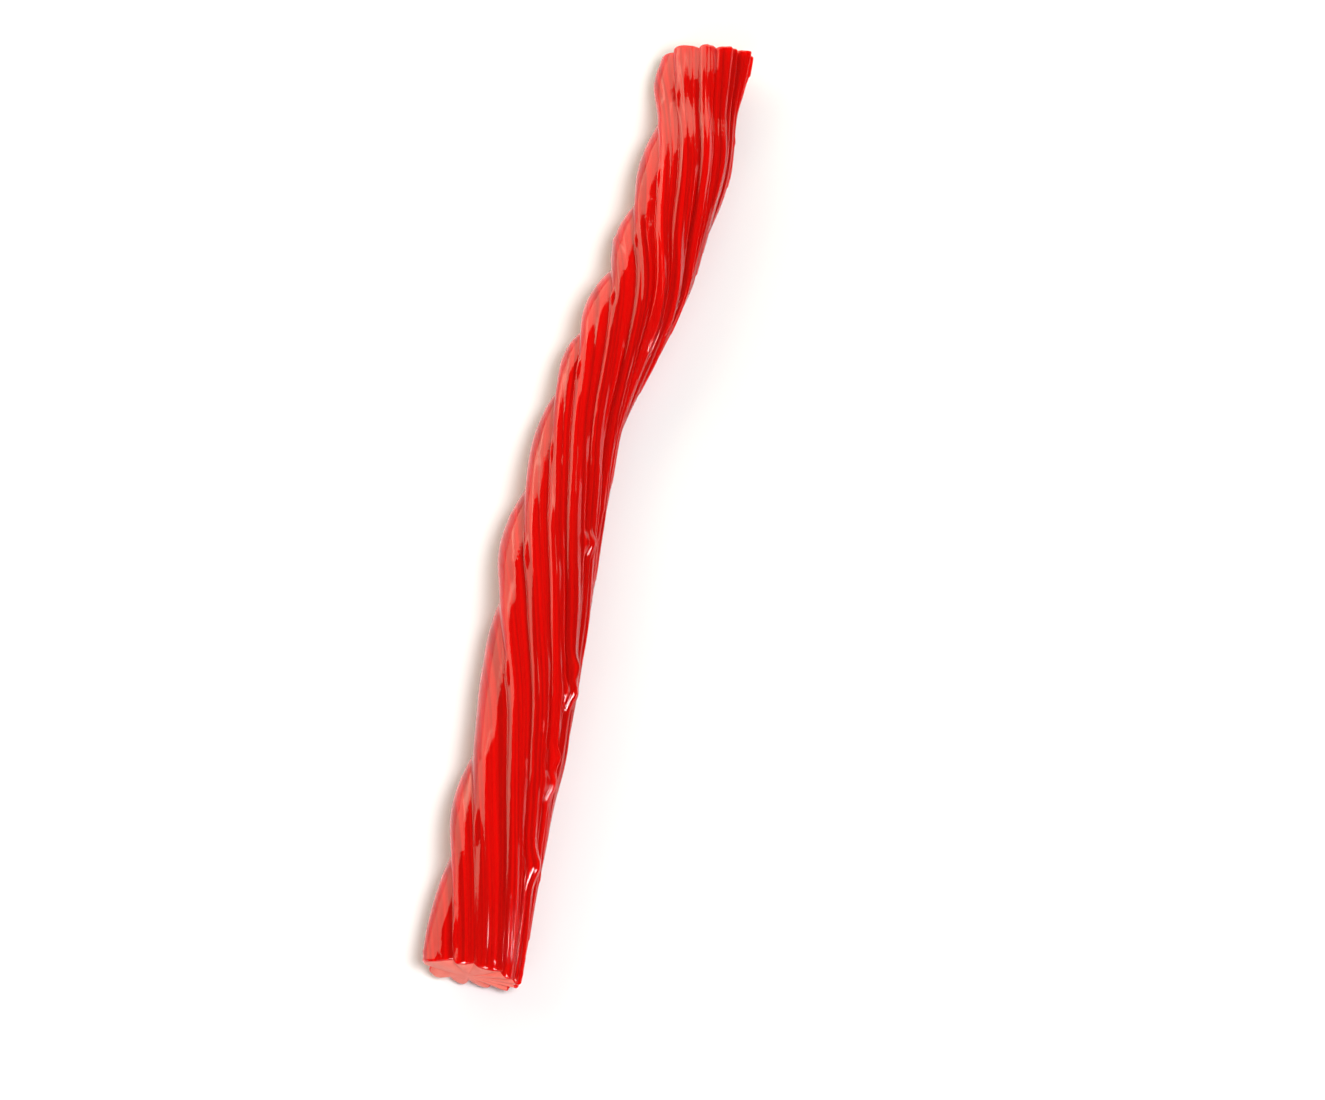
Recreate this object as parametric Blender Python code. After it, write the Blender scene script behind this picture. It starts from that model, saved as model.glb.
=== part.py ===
"""One red licorice twist: a solid ridged rope of candy, pinched and cut at both ends.

It lies along X on the plane z = 0, with its origin below its middle. Lengths are in
metres. The end at minus X is the one whose cut face was seen; "along" runs from 0 there
to 1 at the other end.
"""
import math

import bmesh
import bpy

# Whole twist
LENGTH = 0.130
GIRTH_NEAR = 0.0130          # width across the ridges, at minus X
GIRTH_FAR = 0.0118           # width across the ridges, at plus X
BODY_THICKNESS = 0.82        # height of the sagged body as a share of its width
WAISTS = (                   # (place along, reach along, loss of girth, or gain if negative)
    (0.36, 0.080, -0.0006),
    (0.58, 0.080, 0.0012),
    (0.93, 0.030, 0.0008),
)

# Pinched ends
NEAR_THICKNESS = 0.52        # height of the end as a share of its width
FAR_THICKNESS = 0.50
PINCH_REACH = 0.0095         # how far the pinch runs in from each end
PINCH_POWER = 1.4            # 2 would flatten it out at the cut, 1 keeps it steepest there
END_SINK = 0.45              # share of the pinch by which an end sinks to the floor
CUT_ROUNDING = 0.00030       # rounded rim of each cut
CUT_SWELL = 0.00025          # how far the middle of a cut stands out
CUT_BULGE = 0.0007           # how far the ridges stand out past the grooves at a cut
BULGE_REACH = 0.0016         # how far that runs in from each cut
FAR_SLANT = 0.20             # slope of the far cut, longest at minus Y
SLANT_REACH = 0.012          # how far the slant runs in from the cut

# Bends to the side: (place along, reach along, sideways shift)
BENDS = (
    (0.20, 0.13, 0.0010),
    (0.34, 0.06, 0.0005),
    (0.52, 0.18, 0.0042),
    (0.51, 0.06, -0.0006),
    (0.73, 0.05, -0.0007),
    (0.86, 0.08, -0.0012),
)

# Twist: degrees that the ridges turn over the whole length, one stretch wound tighter
EVEN_TURN = 220
TIGHT_TURN = 38
TIGHT_PLACE = 0.72
TIGHT_REACH = 0.10

# Pleated edge: the side at plus Y, where the ridges cross steeply and stand out as scallops
PLEAT_PLACE = 6              # degrees round the section, from plus Y towards plus Z
PLEAT_REACH = 60
PLEAT_STRENGTH = 0.88        # 1 would run the grooves straight across the edge

# Ridges: relative widths of the lobes round the rope, in order
RIDGE_WIDTHS = (29, 22, 36, 27, 26, 22, 30, 28, 24, 22)
FIRST_GROOVE = -4.4
GROOVE_DEPTH = 0.00055
PLEAT_DEPTH = 0.00085        # added at the pleated edge
DEPTH_UNEVENNESS = 0.15

# Each ridge climbs from one groove and drops to the next. The larger the power, the shorter
# and steeper that side is: first on the body, then at the pleated edge.
RISE = (9, 4)
FALL = (2, 3)

# Underside
REST_FLAT = 0.00035          # depth of the flat spots it rests on

# Mesh
POINTS_PER_RIDGE = 8
STATIONS = 66
CAP_RINGS = (0.30, 0.30)     # widths of the rings in each cut face, of a radius of 1

COLLECTION = "red_licorice_twist"
RED = (0.62, 0.004, 0.004, 1.0)


def clear_scene():
    """Remove every object that the file opens with."""
    for thing in list(bpy.data.objects):
        bpy.data.objects.remove(thing, do_unlink=True)


def bump(value, centre, reach):
    """A smooth hill of height 1 round centre."""
    return math.exp(-((value - centre) / reach) ** 2)


def turn_at(along):
    """Degrees that the ridges have turned since the near end."""
    tight = 0.5 * (1 + math.erf((along - TIGHT_PLACE) / TIGHT_REACH))
    return EVEN_TURN * along + TIGHT_TURN * tight


def girth_at(along):
    """Width across the ridge crests."""
    girth = GIRTH_NEAR + (GIRTH_FAR - GIRTH_NEAR) * along
    return girth - sum(loss * bump(along, place, reach) for place, reach, loss in WAISTS)


def thickness_at(along):
    """Height of the section as a share of its width, least at the pinched ends."""
    near = math.exp(-(along * LENGTH / PINCH_REACH) ** PINCH_POWER)
    far = math.exp(-((1 - along) * LENGTH / PINCH_REACH) ** PINCH_POWER)
    pinch = (BODY_THICKNESS - NEAR_THICKNESS) * near + (BODY_THICKNESS - FAR_THICKNESS) * far
    return BODY_THICKNESS - pinch


def centre_at(along):
    """Centre of the section: along X, bent sideways, its underside near the floor."""
    chord = (bend_at(0), bend_at(1))
    side = bend_at(along) - chord[0] - (chord[1] - chord[0]) * along
    thickness = thickness_at(along)
    lift = (1 - END_SINK) * (BODY_THICKNESS - thickness)
    height = 0.5 * girth_at(along) * (thickness + lift) - REST_FLAT
    return LENGTH * (along - 0.5), side, height


def bend_at(along):
    return sum(shift * bump(along, place, reach) for place, reach, shift in BENDS)


def rounding_at(along):
    """How far the surface draws in where it rounds over to a cut."""
    to_cut = LENGTH * min(along, 1 - along)
    if to_cut >= CUT_ROUNDING:
        return 0.0
    return CUT_ROUNDING - math.sqrt(CUT_ROUNDING ** 2 - (CUT_ROUNDING - to_cut) ** 2)


def evened(degrees):
    """Angle in the even pattern of ridges, for an angle from the pleated edge."""
    area = 0.5 * math.sqrt(math.pi) * PLEAT_REACH * math.erf(degrees / PLEAT_REACH)
    return degrees - PLEAT_STRENGTH * area


def from_edge(pattern):
    """The other way: the angle from the pleated edge, found by halving an interval."""
    half = evened(180)
    pattern = (pattern + half) % (2 * half) - half
    low, high = -180.0, 180.0
    while high - low > 1e-7:
        middle = 0.5 * (low + high)
        low, high = (middle, high) if evened(middle) < pattern else (low, middle)
    return 0.5 * (low + high)


def lobe_at(ridge, across, degrees):
    """Profile of a ridge, 0 in its grooves and near 1 on its crest, and its depth below that."""
    pleat = bump(degrees, 0.0, PLEAT_REACH)
    rise, fall = (body + (edge - body) * pleat for body, edge in (RISE, FALL))
    depth = GROOVE_DEPTH + PLEAT_DEPTH * pleat
    uneven = 1 + DEPTH_UNEVENNESS * math.sin(2.3 * ridge + 0.6)
    lobe = uneven * (1 - (1 - across) ** rise) * (1 - across ** fall)
    return lobe, depth * (1 + DEPTH_UNEVENNESS - lobe)


def surface_point(along, line, share):
    """Point of the rope: share is 1 on its side and rim, less inside a cut face."""
    ridge, across, pattern = line
    degrees = from_edge(pattern - turn_at(along))
    x, side, height = centre_at(along)
    lobe, dip = lobe_at(ridge, across, degrees)
    radius = 0.5 * girth_at(along) - dip - rounding_at(along)
    to_cut = min(along, 1 - along) * LENGTH
    outward = CUT_SWELL * (1 - share ** 2)
    outward += CUT_BULGE * (lobe - 0.5) * share ** 2 * bump(to_cut, 0.0, BULGE_REACH)
    x += outward if along > 0.5 else -outward
    angle = math.radians(PLEAT_PLACE + degrees)
    out = share * radius * math.cos(angle)
    x -= FAR_SLANT * out * bump((1 - along) * LENGTH, 0.0, SLANT_REACH)
    z = height + share * radius * thickness_at(along) * math.sin(angle)
    return x, side + out, max(z, 0.0)


def station_places():
    """Places along the rope: close together at the rounded rims, then even."""
    rim = CUT_ROUNDING / LENGTH
    body = STATIONS - 4
    inner = [rim + (1 - 2 * rim) * step / body for step in range(body + 1)]
    return [0.0, 0.3 * rim] + inner + [1 - 0.3 * rim, 1.0]


def mesh_lines():
    """Lines along the rope: each ridge gets the same number, its groove included."""
    whole = 2 * evened(180)
    start = FIRST_GROOVE
    lines = []
    for ridge, width in enumerate(RIDGE_WIDTHS):
        width *= whole / sum(RIDGE_WIDTHS)
        for point in range(POINTS_PER_RIDGE):
            across = point / POINTS_PER_RIDGE
            lines.append((ridge, across, start + width * across))
        start += width
    return lines


def middle_of(values):
    return 0.5 * (min(values) + max(values))


def build_twist():
    """Shape a capped cylinder of radius 1 and length 1 into the rope."""
    lines = mesh_lines()
    places = station_places()
    sides = len(lines)
    shell = bmesh.new()
    bmesh.ops.create_cone(shell, cap_ends=True, segments=sides,
                          radius1=1, radius2=1, depth=1)
    caps = [face for face in shell.faces if len(face.verts) == sides]
    lengthwise = [edge for edge in shell.edges
                  if abs(edge.verts[0].co.z - edge.verts[1].co.z) > 0.5]
    for width in CAP_RINGS:
        bmesh.ops.inset_individual(shell, faces=caps, thickness=width)
    bmesh.ops.poke(shell, faces=caps)
    bmesh.ops.subdivide_edges(shell, edges=lengthwise, cuts=len(places) - 2,
                              use_grid_fill=True)
    for vert in shell.verts:
        share = min(1.0, math.hypot(vert.co.x, vert.co.y))
        share = 1.0 if share > 0.999 else share
        line = round(math.atan2(vert.co.y, vert.co.x) / (2 * math.pi) * sides) % sides
        place = round((vert.co.z + 0.5) * (len(places) - 1))
        vert.co = surface_point(places[place], lines[line], share)
    shift = [-middle_of([vert.co[axis] for vert in shell.verts]) for axis in (0, 1)]
    bmesh.ops.translate(shell, verts=shell.verts, vec=(*shift, 0))
    bmesh.ops.triangulate(shell, faces=shell.faces, quad_method="SHORT_EDGE")
    bmesh.ops.recalc_face_normals(shell, faces=shell.faces)
    mesh = bpy.data.meshes.new("licorice_twist")
    shell.to_mesh(mesh)
    shell.free()
    mesh.shade_smooth()
    return mesh


def red_candy():
    """Glossy, slightly see-through red."""
    material = bpy.data.materials.new("red_licorice")
    material.use_nodes = True
    shader = material.node_tree.nodes["Principled BSDF"]
    shader.inputs["Base Color"].default_value = RED
    shader.inputs["Roughness"].default_value = 0.2
    shader.inputs["Metallic"].default_value = 0.0
    return material


def main():
    clear_scene()
    collection = bpy.data.collections.new(COLLECTION)
    bpy.context.scene.collection.children.link(collection)
    mesh = build_twist()
    mesh.materials.append(red_candy())
    collection.objects.link(bpy.data.objects.new("licorice_twist", mesh))


main()
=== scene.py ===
# One red licorice twist on a pale table, lit from the left, from both ends and from above
import math

import bpy
import numpy as np
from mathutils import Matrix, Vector


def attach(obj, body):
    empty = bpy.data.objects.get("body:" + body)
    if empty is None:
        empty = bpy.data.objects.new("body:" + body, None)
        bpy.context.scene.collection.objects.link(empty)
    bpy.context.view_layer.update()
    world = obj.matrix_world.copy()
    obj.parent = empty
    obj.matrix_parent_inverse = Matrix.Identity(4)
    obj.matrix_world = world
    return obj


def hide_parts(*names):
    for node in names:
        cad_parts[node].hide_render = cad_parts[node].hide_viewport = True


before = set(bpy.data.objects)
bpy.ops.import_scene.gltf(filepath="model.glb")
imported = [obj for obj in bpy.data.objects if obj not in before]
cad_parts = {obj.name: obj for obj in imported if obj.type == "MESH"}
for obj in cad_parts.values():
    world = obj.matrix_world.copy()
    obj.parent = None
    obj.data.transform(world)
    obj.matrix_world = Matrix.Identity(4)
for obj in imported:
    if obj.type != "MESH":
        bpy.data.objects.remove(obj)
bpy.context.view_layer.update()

# The rope of candy. "along" runs from 0 at the near cut (minus X) to 1 at the far one.
twist = {
    "length": 0.130,
    "girthNear": 0.0130, "girthFar": 0.0118,             # across the ridge crests
    "bodyThickness": 0.82,                               # height over width
    # place, reach, and loss of girth, or gain where it is below zero
    "waists": [(0.36, 0.08, -0.0006), (0.58, 0.08, 0.0012), (0.93, 0.03, 0.0008)],
    "nearThickness": 0.52, "farThickness": 0.50,         # the pinched ends
    "pinchReach": 0.0095, "pinchPower": 1.4, "endSink": 0.45,
    "farSlant": 0.20, "slantReach": 0.012,               # the far cut isn't square
    # place, reach, and shift to the side
    "bends": [
        (0.20, 0.13, 0.0010), (0.34, 0.06, 0.0005), (0.52, 0.18, 0.0042),
        (0.51, 0.06, -0.0006), (0.73, 0.05, -0.0007), (0.86, 0.08, -0.0012),
    ],
    "evenTurn": 220, "tightTurn": 38, "tightPlace": 0.72, "tightReach": 0.10,    # degrees
    "pleatPlace": 6, "pleatReach": 60, "pleatStrength": 0.88,       # the edge at plus Y
    "ridgeWidths": [29, 22, 36, 27, 26, 22, 30, 28, 24, 22],
    "firstGroove": -4.4, "grooveDepth": 0.00055, "pleatDepth": 0.00085,
    "depthUnevenness": 0.15, "unevenStep": 2.3, "unevenStart": 0.6,  # a sine of the ridge
    "rise": (9, 4), "fall": (2, 3),                      # on the body, at the pleated edge
    "cutBulge": (0.0007, 0.0004), "bulgeReach": 0.0016,  # ridges stand out at the near, far cut
    "restFlat": 0.00035,                                 # depth of the flat spots it rests on
    "cutRounding": 0.00030, "cutSwell": 0.00025,
    "linesPerRidge": 24, "linesAlong": 380, "rimLines": 4, "capRings": 8,
    "grooveCrowding": 0.05,                              # draws the lines in towards the grooves
    "edgeTable": 3601,                                   # angles, a tenth of a degree apart
}
errorFunction = np.vectorize(math.erf)


def bump(value, centre, reach):
    # a smooth hill of height 1: e to the minus (distance over reach) squared
    return np.exp(-((value - centre) / reach) ** 2)


def turnAt(along):
    # degrees turned since the near cut: an even turn, plus the area under a bell curve
    tight = 0.5 * (1 + errorFunction((along - twist["tightPlace"]) / twist["tightReach"]))
    return twist["evenTurn"] * along + twist["tightTurn"] * tight


def girthAt(along):
    # a straight taper, less a smooth hill of loss or gain at each waist
    girth = twist["girthNear"] + (twist["girthFar"] - twist["girthNear"]) * along
    return girth - sum(loss * bump(along, place, reach) for place, reach, loss in twist["waists"])


def thicknessAt(along):
    # height over width, less towards each pinched end
    near = np.exp(-(along * twist["length"] / twist["pinchReach"]) ** twist["pinchPower"])
    far = np.exp(-((1 - along) * twist["length"] / twist["pinchReach"]) ** twist["pinchPower"])
    body = twist["bodyThickness"]
    return body - (body - twist["nearThickness"]) * near - (body - twist["farThickness"]) * far


def bendAt(along):
    # the shift of every bend, each a smooth hill, added up
    return sum(shift * bump(along, place, reach) for place, reach, shift in twist["bends"])


def centreAt(along):
    # along X, bent sideways off the chord between the ends, its underside near the table
    atStart, atEnd = bendAt(0), bendAt(1)
    side = bendAt(along) - atStart - (atEnd - atStart) * along
    thickness = thicknessAt(along)
    lift = (1 - twist["endSink"]) * (twist["bodyThickness"] - thickness)
    height = 0.5 * girthAt(along) * (thickness + lift) - twist["restFlat"]
    return twist["length"] * (along - 0.5), side, height


def evened(degrees):
    # place in an even pattern of ridges: the angle less the area under the pleat's bell curve
    reach = twist["pleatReach"]
    area = 0.5 * math.sqrt(math.pi) * reach * errorFunction(degrees / reach)
    return degrees - twist["pleatStrength"] * area


def fromEdge(pattern):
    # the other way round, read off a fine table of the formula above
    degrees = np.linspace(-180, 180, twist["edgeTable"])
    evenedDegrees = evened(degrees)
    half = evenedDegrees[-1]
    return np.interp((pattern + half) % (2 * half) - half, evenedDegrees, degrees)


def ridgeLines():
    # the grid's lines: ridge number, place across it from 0 to 1, place in the pattern
    widths = np.array(twist["ridgeWidths"], float)
    widths *= 2 * float(evened(180.0)) / widths.sum()
    starts = twist["firstGroove"] + np.concatenate([[0], np.cumsum(widths)[:-1]])
    step = np.arange(twist["linesPerRidge"]) / twist["linesPerRidge"]
    across = step - twist["grooveCrowding"] * np.sin(2 * np.pi * step)
    ridge = np.repeat(np.arange(len(widths)), len(step))
    across = np.tile(across, len(widths))
    return ridge[None, :], across[None, :], (starts[ridge] + widths[ridge] * across)[None, :]


def lobeAt(ridge, across, degrees):
    # across each ridge the surface climbs as 1 - (1 - across)^rise and drops as
    # 1 - across^fall, and both powers and the depth change towards the pleated edge
    pleat = bump(degrees, 0, twist["pleatReach"])
    rise, fall = (body + (edge - body) * pleat for body, edge in (twist["rise"], twist["fall"]))
    depth = twist["grooveDepth"] + twist["pleatDepth"] * pleat
    uneven = np.sin(twist["unevenStep"] * ridge + twist["unevenStart"])
    uneven = 1 + twist["depthUnevenness"] * uneven
    lobe = uneven * (1 - (1 - across) ** rise) * (1 - across ** fall)
    return lobe, depth * (1 + twist["depthUnevenness"] - lobe)


# Fine relief: folds that run along the ridges, beads, hooks and knots, and a slowly waving skin
relief = {
    "folds": [(0.33, 1.0), (0.66, 0.85)],                # place across a ridge, strength
    "foldHalf": (0.040, 0.065), "foldFall": 0.16,        # shares of a ridge; near, far end
    "foldless": (8, 42),                                 # middle and reach, in degrees
    "foldSlope": 0.52, "slopeBeyond": 0.6,               # rise over run, and more past the top
    "beyond": (70, 60),                                  # degrees: where that starts, its spread
    "foldWander": 0.035, "wanderWaves": (5, 7),          # how many waves, the fastest of them
    "foldStrength": (0.75, 0.4, 1.4), "strengthWaves": (5, 9),       # middle, swing, most
    "seed": 5,
    "beads": 130, "beadPlaces": (0.14, 0.40, 0.72), "beadSpread": 0.03,
    "beadReach": (0.00025, 0.0005), "beadHeight": (0.00004, 0.00012), "beadStretch": 1.7,
    "beadsAlong": (0.02, 0.98),
    "wave": 0.00006, "skinWaves": (8, 14), "waveTurns": 4, "wavePhase": 6.3,
    "ridgePitch": 0.0038,                                # about the width of a ridge
    # beads in a row beside the near cut: place along, places across each ridge, height, reach
    "cutBeads": (0.010, (0.30, 0.68), 0.00013, 0.00030),
    # hooks: one knot on each ridge where it leaves the pleated edge: degrees, across, height
    "hook": (62, 0.10, 0.00050), "hookReach": (0.0005, 0.0003),      # around, across
    # knots: place along, degrees from the pleated edge, height, reach along and around
    "knots": [
        (0.315, 145, 0.0008, 0.0014, 0.0011),
        (0.290, 145, 0.0010, 0.0016, 0.0013),
        (0.220, 143, 0.0008, 0.0013, 0.0011),
        (0.195, 143, 0.0010, 0.0016, 0.0013),
        (0.110, 145, 0.0010, 0.0018, 0.0013),
        (0.445, 140, 0.0008, 0.0014, 0.0011),
        (0.455, 84, 0.00025, 0.0022, 0.0008),
    ],
}


def waves(u, v, count, fastest, rng):
    # a smooth random field between about -1 and 1: sines of u (whole turns) and v, summed
    total = 0
    for _ in range(count):
        turns, speed = rng.integers(0, relief["waveTurns"]), rng.uniform(1, fastest)
        phase = rng.uniform(0, relief["wavePhase"])
        total = total + np.sin(2 * np.pi * (turns * u + speed * v) + phase)
    return total / math.sqrt(count)


def reliefAt(ridge, across, along, degrees):
    # height above the plain ridges: slow waves, folds that climb in a straight line and fall
    # off slowly, steeper where the ends get thinner, and smooth hills for all that is round
    rng = np.random.default_rng(relief["seed"])
    ridges = len(twist["ridgeWidths"])
    u = (ridge + across) / ridges
    height = relief["wave"] * waves(u, along, *relief["skinWaves"], rng)
    near, far = relief["foldHalf"]
    half = near + (far - near) * along
    begin, over = relief["beyond"]
    beyond = 1 + relief["slopeBeyond"] * np.clip((degrees - begin) / over, 0, 1)
    pinched = twist["bodyThickness"] / thicknessAt(along)
    steepness = 2 * half * relief["foldSlope"] * relief["ridgePitch"] * beyond * pinched
    middle, swing, most = relief["foldStrength"]
    for place, fold in relief["folds"]:
        wander = waves(ridge / ridges, along, *relief["wanderWaves"], rng)
        path = place + relief["foldWander"] * wander
        past = across - path
        front = np.clip(0.5 + past / (2 * half), 0, 1)
        strength = middle + swing * waves(ridge / ridges, along, *relief["strengthWaves"], rng)
        strength = strength.clip(0, most)
        strength = strength * (1 - bump(degrees, *relief["foldless"]))
        back = np.exp(-np.maximum(past - half, 0) / relief["foldFall"])
        height = height + fold * strength * steepness * front * back
    width, length = relief["ridgePitch"], twist["length"]
    for _ in range(relief["beads"]):
        number = rng.integers(0, ridges)
        place = rng.choice(relief["beadPlaces"]) + rng.normal(0, relief["beadSpread"])
        where, reach = rng.uniform(*relief["beadsAlong"]), rng.uniform(*relief["beadReach"])
        tall = rng.uniform(*relief["beadHeight"])
        hill = bump(across * width, place * width, reach)
        hill = hill * bump(along * length, where * length, relief["beadStretch"] * reach)
        height = height + tall * hill * (ridge == number)
    where, acrossPlaces, tall, reach = relief["cutBeads"]
    for place in acrossPlaces:
        hill = bump(across * width, place * width, reach)
        hill = hill * bump(along * length, where * length, reach)
        height = height + tall * hill
    halfGirth = 0.5 * twist["girthNear"]
    onArc = np.radians(degrees) * halfGirth
    place, start, tall = relief["hook"]
    hooked = bump(onArc, math.radians(place) * halfGirth, relief["hookReach"][0])
    height = height + tall * hooked * bump(across * width, start * width, relief["hookReach"][1])
    for where, place, tall, alongReach, aroundReach in relief["knots"]:
        hill = bump(along * length, where * length, alongReach)
        hill = hill * bump(onArc, math.radians(place) * halfGirth, aroundReach)
        height = height + tall * hill
    return height


def rowPlaces():
    # rows of the grid: out over the near cut, round its rim, along the rope, and in again
    rim = twist["cutRounding"]
    share = np.linspace(0, 1, twist["capRings"] + 1)[1:-1]
    arc = np.linspace(0, np.pi / 2, twist["rimLines"])
    rimAlong = rim * (1 - np.cos(arc)) / twist["length"]
    rimInset = rim * (1 - np.sin(arc))
    body = np.linspace(rimAlong[-1], 1 - rimAlong[-1], twist["linesAlong"])[1:-1]
    along = np.concatenate([0 * share, rimAlong, body, 1 - rimAlong[::-1], 1 + 0 * share])
    shares = np.concatenate([share, 0 * arc + 1, 0 * body + 1, 0 * arc + 1, share[::-1]])
    inset = np.concatenate([0 * share + rim, rimInset, 0 * body, rimInset[::-1], 0 * share + rim])
    return along, shares, inset


def surfaceGrid():
    # polar form: the centre plus share times radius, each line turned back as its row asks
    along, share, inset = (row[:, None] for row in rowPlaces())
    ridge, across, pattern = ridgeLines()
    degrees = fromEdge(pattern - turnAt(along))
    x, side, height = centreAt(along)
    lobe, dip = lobeAt(ridge, across, degrees)
    radius = 0.5 * girthAt(along) - inset - dip + reliefAt(ridge, across, along, degrees)
    angle = np.radians(twist["pleatPlace"] + degrees)
    outward = np.sign(along - 0.5)
    toCut = np.minimum(along, 1 - along) * twist["length"]
    nearBulge, farBulge = twist["cutBulge"]
    bulge = (nearBulge + (farBulge - nearBulge) * along) * (lobe - 0.5)
    bulge = bulge * share ** 2 * bump(toCut, 0, twist["bulgeReach"])
    swell = twist["cutSwell"] * (1 - share ** 2)
    out = share * radius * np.cos(angle)
    slant = -twist["farSlant"] * out * bump((1 - along) * twist["length"], 0, twist["slantReach"])
    grid = np.stack(np.broadcast_arrays(
        x + outward * (swell + bulge) + slant,
        side + out,
        height + share * radius * thicknessAt(along) * np.sin(angle)), axis=-1)
    return grid, share[:, 0]


def gridToMesh(name, grid, inCut, across, along):
    # quads between neighbouring rows and lines, closed round, with a fan at each pole
    rows, lines = grid.shape[:2]
    poles = np.array([grid[0].mean(axis=0), grid[-1].mean(axis=0)])
    places = np.concatenate([grid.reshape(-1, 3), poles])
    i, j = np.meshgrid(np.arange(rows - 1), np.arange(lines), indexing="ij")
    k = (j + 1) % lines
    here, there = i * lines, (i + 1) * lines
    quads = np.stack([here + j, here + k, there + k, there + j], axis=-1)
    quads = quads[..., ::-1].reshape(-1, 4)
    line = np.arange(lines)
    after = (line + 1) % lines
    nearPole, farPole = rows * lines, rows * lines + 1
    nearFan = np.stack([after, line, 0 * line + nearPole], axis=-1)[:, ::-1]
    lastRow = (rows - 1) * lines
    farFan = np.stack([lastRow + line, lastRow + after, 0 * line + farPole], axis=-1)[:, ::-1]
    corners = np.concatenate([quads.ravel(), nearFan.ravel(), farFan.ravel()])
    sizes = np.concatenate([np.full(len(quads), 4), np.full(2 * lines, 3)])
    starts = np.concatenate([[0], np.cumsum(sizes)[:-1]])
    mesh = bpy.data.meshes.new(name)
    mesh.vertices.add(len(places))
    mesh.vertices.foreach_set("co", places.ravel())
    mesh.loops.add(len(corners))
    mesh.loops.foreach_set("vertex_index", corners)
    mesh.polygons.add(len(sizes))
    mesh.polygons.foreach_set("loop_start", starts)
    slots = np.concatenate([np.repeat(inCut, lines), np.ones(2 * lines)]).astype(np.int32)
    mesh.polygons.foreach_set("material_index", slots)
    mesh.update(calc_edges=True)
    # the pattern runs round the rope in u and along it in v, and u goes on past the seam
    u = np.stack([j, k, k, j], axis=-1).reshape(-1, 4)
    u = across[u] + len(twist["ridgeWidths"]) * (u < j.reshape(-1, 1))
    v = along[np.stack([i, i, i + 1, i + 1], axis=-1).reshape(-1, 4)]
    strip = np.stack([u, v], axis=-1)[:, ::-1].reshape(-1, 2)
    layout = mesh.uv_layers.new(name="alongRidges")
    layout.data.foreach_set("uv", np.concatenate([strip, np.zeros((6 * lines, 2))]).ravel())
    mesh.validate()
    mesh.shade_smooth()
    return mesh


# Materials: wet-looking red candy, and the dull pink where it was cut
redFinish = {
    "red": (0.65, 0.0020, 0.0006, 1), "deepRed": (0.44, 0.0020, 0.0008, 1),
    "stripes": (7, 2.0), "stripeDetail": 3,              # how many across a ridge, along the rope
    "contrast": (0.38, 0.62),                            # the noise that spans both reds
    "roughness": 0.06, "gloss": 0.5, "seeThrough": 1.0, "reach": (0.0040, 0.0004, 0.0003),
    "ripples": (6, 420), "rippleDetail": 1, "rippleHeight": 0.000010,
    "grain": 2600, "grainDetail": 1, "grainHeight": 0.000010,
}
cutFinish = {
    "pink": (0.74, 0.098, 0.066, 1), "palePink": (0.90, 0.225, 0.165, 1),
    "cloud": 700, "roughness": 0.5, "grain": 2500, "grainHeight": 0.00006, "detail": 3,
}


def noiseOf(nodes, links, source, scale, detail):
    # cloudy noise over the coordinates given
    noise = nodes.new("ShaderNodeTexNoise")
    noise.inputs["Scale"].default_value = scale
    noise.inputs["Detail"].default_value = detail
    links.new(source, noise.inputs["Vector"])
    return noise.outputs["Fac"]


def stretched(nodes, links, source, across, along):
    # the coordinates times one number across the ridges and another along them
    mapping = nodes.new("ShaderNodeMapping")
    mapping.inputs["Scale"].default_value = (across, along, 1)
    links.new(source, mapping.inputs["Vector"])
    return mapping.outputs["Vector"]


def mixed(nodes, links, factor, first, second):
    # the first colour where the factor is 0, the second where it is 1
    mix = nodes.new("ShaderNodeMix")
    mix.data_type = "RGBA"
    links.new(factor, mix.inputs["Factor"])
    mix.inputs["A"].default_value = first
    mix.inputs["B"].default_value = second
    return mix


def raised(nodes, links, heights, distance, before=None):
    # tilts the surface as if the heights stood on it, on top of any tilt from before
    bumps = nodes.new("ShaderNodeBump")
    bumps.inputs["Distance"].default_value = distance
    links.new(heights, bumps.inputs["Height"])
    if before:
        links.new(before, bumps.inputs["Normal"])
    return bumps.outputs["Normal"]


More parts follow.
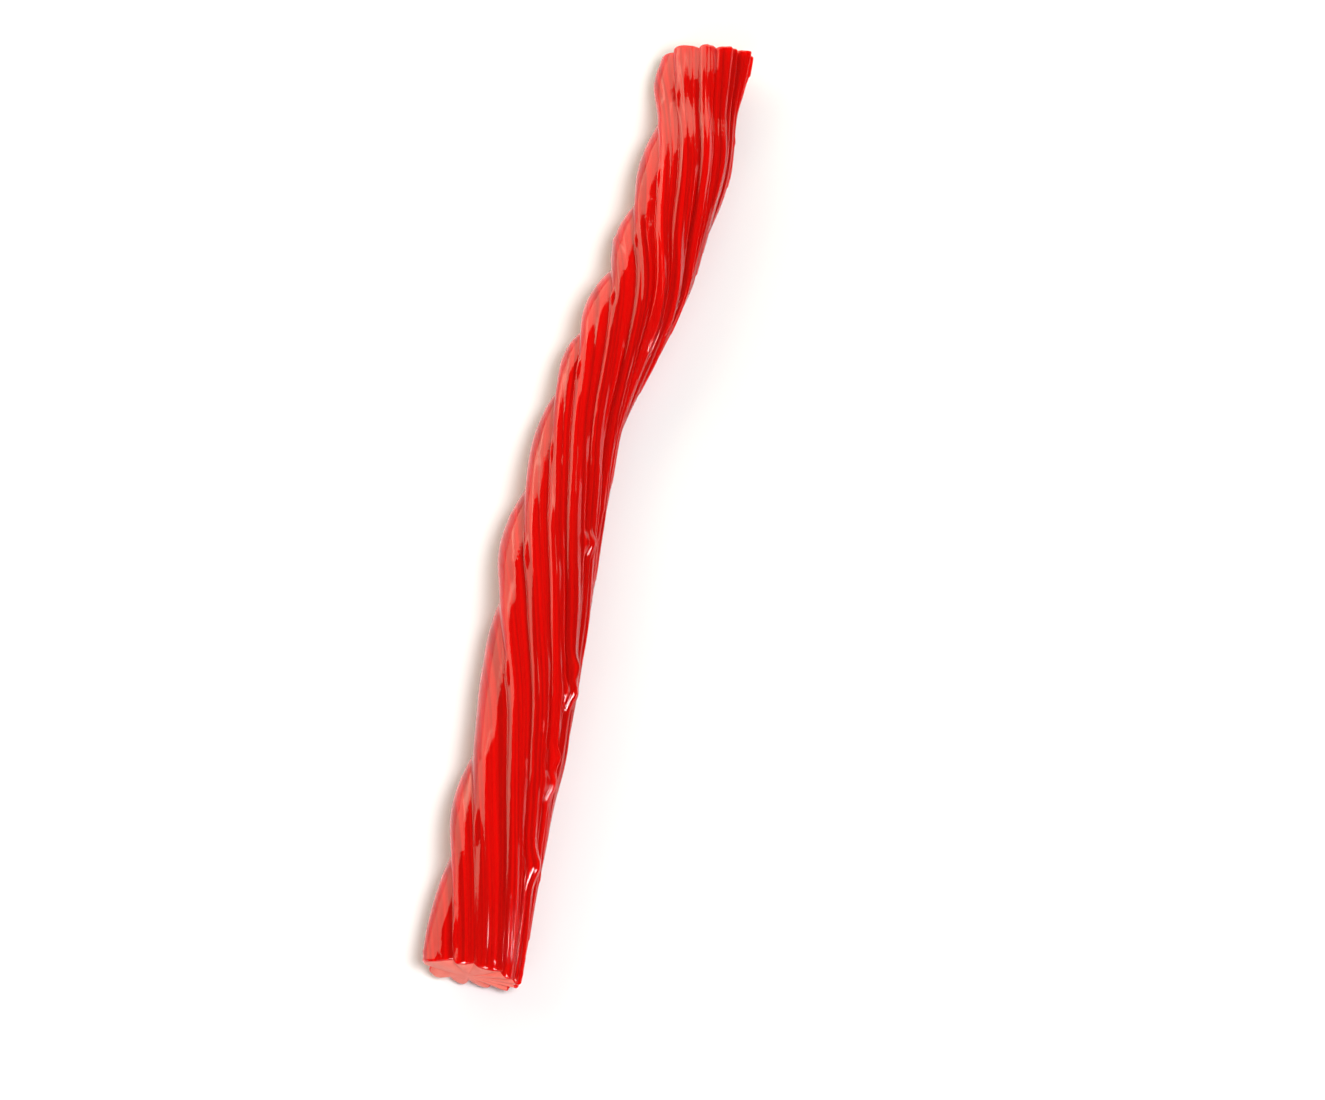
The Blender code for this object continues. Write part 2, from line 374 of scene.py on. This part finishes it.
def redCandy():
    # light sinks into it; two reds in stripes along the ridges, with ripples and grain on top
    material = bpy.data.materials.new("redCandy")
    material.use_nodes = True
    nodes, links = material.node_tree.nodes, material.node_tree.links
    shader = nodes["Principled BSDF"]
    place = nodes.new("ShaderNodeTexCoord")
    stripes = stretched(nodes, links, place.outputs["UV"], *redFinish["stripes"])
    stripes = noiseOf(nodes, links, stripes, 1, redFinish["stripeDetail"])
    contrast = nodes.new("ShaderNodeMapRange")
    low, high = redFinish["contrast"]
    contrast.inputs["From Min"].default_value = low
    contrast.inputs["From Max"].default_value = high
    links.new(stripes, contrast.inputs["Value"])
    tint = mixed(nodes, links, contrast.outputs["Result"], redFinish["deepRed"], redFinish["red"])
    links.new(tint.outputs["Result"], shader.inputs["Base Color"])
    ripples = stretched(nodes, links, place.outputs["UV"], *redFinish["ripples"])
    ripples = noiseOf(nodes, links, ripples, 1, redFinish["rippleDetail"])
    normal = raised(nodes, links, ripples, redFinish["rippleHeight"])
    skin = place.outputs["Object"]
    grain = noiseOf(nodes, links, skin, redFinish["grain"], redFinish["grainDetail"])
    normal = raised(nodes, links, grain, redFinish["grainHeight"], normal)
    links.new(normal, shader.inputs["Normal"])
    shader.inputs["Roughness"].default_value = redFinish["roughness"]
    shader.inputs["Specular IOR Level"].default_value = redFinish["gloss"]
    shader.inputs["Subsurface Weight"].default_value = redFinish["seeThrough"]
    shader.inputs["Subsurface Radius"].default_value = redFinish["reach"]
    shader.inputs["Subsurface Scale"].default_value = 1.0
    return material


def cutPink():
    # a dull, cloudy pink with a rough grain
    material = bpy.data.materials.new("cutPink")
    material.use_nodes = True
    nodes, links = material.node_tree.nodes, material.node_tree.links
    shader = nodes["Principled BSDF"]
    place = nodes.new("ShaderNodeTexCoord")
    skin = place.outputs["Object"]
    cloud = noiseOf(nodes, links, skin, cutFinish["cloud"], cutFinish["detail"])
    tint = mixed(nodes, links, cloud, cutFinish["pink"], cutFinish["palePink"])
    links.new(tint.outputs["Result"], shader.inputs["Base Color"])
    grain = noiseOf(nodes, links, skin, cutFinish["grain"], cutFinish["detail"])
    links.new(raised(nodes, links, grain, cutFinish["grainHeight"]), shader.inputs["Normal"])
    shader.inputs["Roughness"].default_value = cutFinish["roughness"]
    return material


def makeTwist():
    # the grid is shifted to lie over the origin, and what is below the table is pressed flat
    grid, share = surfaceGrid()
    for axis in (0, 1):
        grid[..., axis] -= 0.5 * (grid[..., axis].min() + grid[..., axis].max())
    grid[..., 2] = np.maximum(grid[..., 2], 0)
    inCut = (np.minimum(share[:-1], share[1:]) < 1).astype(int)
    ridge, across, _ = ridgeLines()
    mesh = gridToMesh("licoriceTwist", grid, inCut, (ridge + across)[0], rowPlaces()[0])
    mesh.materials.append(redCandy())
    mesh.materials.append(cutPink())
    rope = bpy.data.objects.new("licoriceTwist", mesh)
    bpy.context.scene.collection.objects.link(rope)
    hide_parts("licorice_twist")
    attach(rope, "root")
    print("twist made:", len(mesh.polygons), "faces")


makeTwist()

# Table, lights and camera
table = {
    "half": 1.5, "drop": 0.00002,                        # half its width, gap below the twist
    "white": (0.84, 0.84, 0.85, 1), "roughness": 0.9,
}


def makeTable():
    # one square
    half, z = table["half"], -table["drop"]
    corners = [(-half, -half, z), (half, -half, z), (half, half, z), (-half, half, z)]
    mesh = bpy.data.meshes.new("table")
    mesh.from_pydata(corners, [], [(0, 1, 2, 3)])
    material = bpy.data.materials.new("palePaper")
    material.use_nodes = True
    shader = material.node_tree.nodes["Principled BSDF"]
    shader.inputs["Base Color"].default_value = table["white"]
    shader.inputs["Roughness"].default_value = table["roughness"]
    shader.inputs["Specular IOR Level"].default_value = 0.0
    mesh.materials.append(material)
    floor = bpy.data.objects.new("table", mesh)
    bpy.context.scene.collection.objects.link(floor)


# name: direction from the twist, distance, width, height, watts, colour
lights = {
    "windowLeft": ((0.32, 0.94, 0.47), 0.80, 0.60, 0.70, 3.0, (1, 0.95, 0.72)),
    "windowCorner": ((0.80, 0.55, 0.40), 0.80, 0.56, 0.58, 2.5, (1, 0.95, 0.72)),
    "windowFar": ((0.97, -0.10, 0.34), 0.80, 0.56, 0.50, 2.2, (1, 0.95, 0.72)),
    "shoulder": ((-0.80, 0.05, 0.58), 1.10, 0.70, 0.70, 3.2, (0.97, 0.98, 1)),
    "fleckLamp": ((-0.28, -0.32, 0.90), 0.90, 0.32, 0.32, 7.4, (1, 1, 1)),
}
world = {"colour": (1, 1, 1, 1), "strength": 0.05}


def makeLights():
    # flat lamps that face the twist, and an even glow from all round
    for name, (towards, distance, width, height, watts, colour) in lights.items():
        data = bpy.data.lights.new(name, "AREA")
        data.shape = "RECTANGLE"
        data.size, data.size_y, data.energy, data.color = width, height, watts, colour
        lamp = bpy.data.objects.new(name, data)
        away = np.array(towards) / np.linalg.norm(towards)
        lamp.location = away * distance
        lamp.rotation_mode = "QUATERNION"
        lamp.rotation_quaternion = lamp.location.to_track_quat("Z", "Y")
        bpy.context.scene.collection.objects.link(lamp)
    sky = bpy.data.worlds.new("room")
    sky.use_nodes = True
    backdrop = sky.node_tree.nodes["Background"]
    backdrop.inputs["Color"].default_value = world["colour"]
    backdrop.inputs["Strength"].default_value = world["strength"]
    bpy.context.scene.world = sky


view = {
    "azimuth": -77.1, "elevation": 65.0, "distance": 1.0,
    "pixelsPerMetre": 8040.0, "frameWide": 1325, "frameHigh": 1100,
    "twistPixel": (581, 488),                            # where its middle is in the picture
    "sensor": 36.0,                                      # millimetres
    "clip": (0.01, 10),
}


def makeCamera():
    # the distance and the pixels to a metre at the twist fix the lens
    around, tilt = math.radians(view["azimuth"]), math.radians(view["elevation"])
    level = math.cos(tilt)
    back = np.array([math.sin(around) * level, -math.cos(around) * level, math.sin(tilt)])
    right = np.array([math.cos(around), math.sin(around), 0])
    up = np.cross(back, right)
    offRight = (view["frameWide"] / 2 - view["twistPixel"][0]) / view["pixelsPerMetre"]
    offUp = (view["twistPixel"][1] - view["frameHigh"] / 2) / view["pixelsPerMetre"]
    target = np.array([0, 0, 0.5 * twist["girthNear"]]) + right * offRight + up * offUp
    data = bpy.data.cameras.new("camera")
    data.sensor_width = view["sensor"]
    data.lens = data.sensor_width * view["distance"] * view["pixelsPerMetre"] / view["frameWide"]
    data.clip_start, data.clip_end = view["clip"]
    camera = bpy.data.objects.new("camera", data)
    camera.location = target + back * view["distance"]
    camera.rotation_mode = "QUATERNION"
    camera.rotation_quaternion = Vector(back).to_track_quat("Z", "Y")
    bpy.context.scene.collection.objects.link(camera)
    bpy.context.scene.camera = camera


makeTable()
makeLights()
makeCamera()
bpy.context.scene.view_settings.view_transform = "Standard"
print("table, lights and camera made")
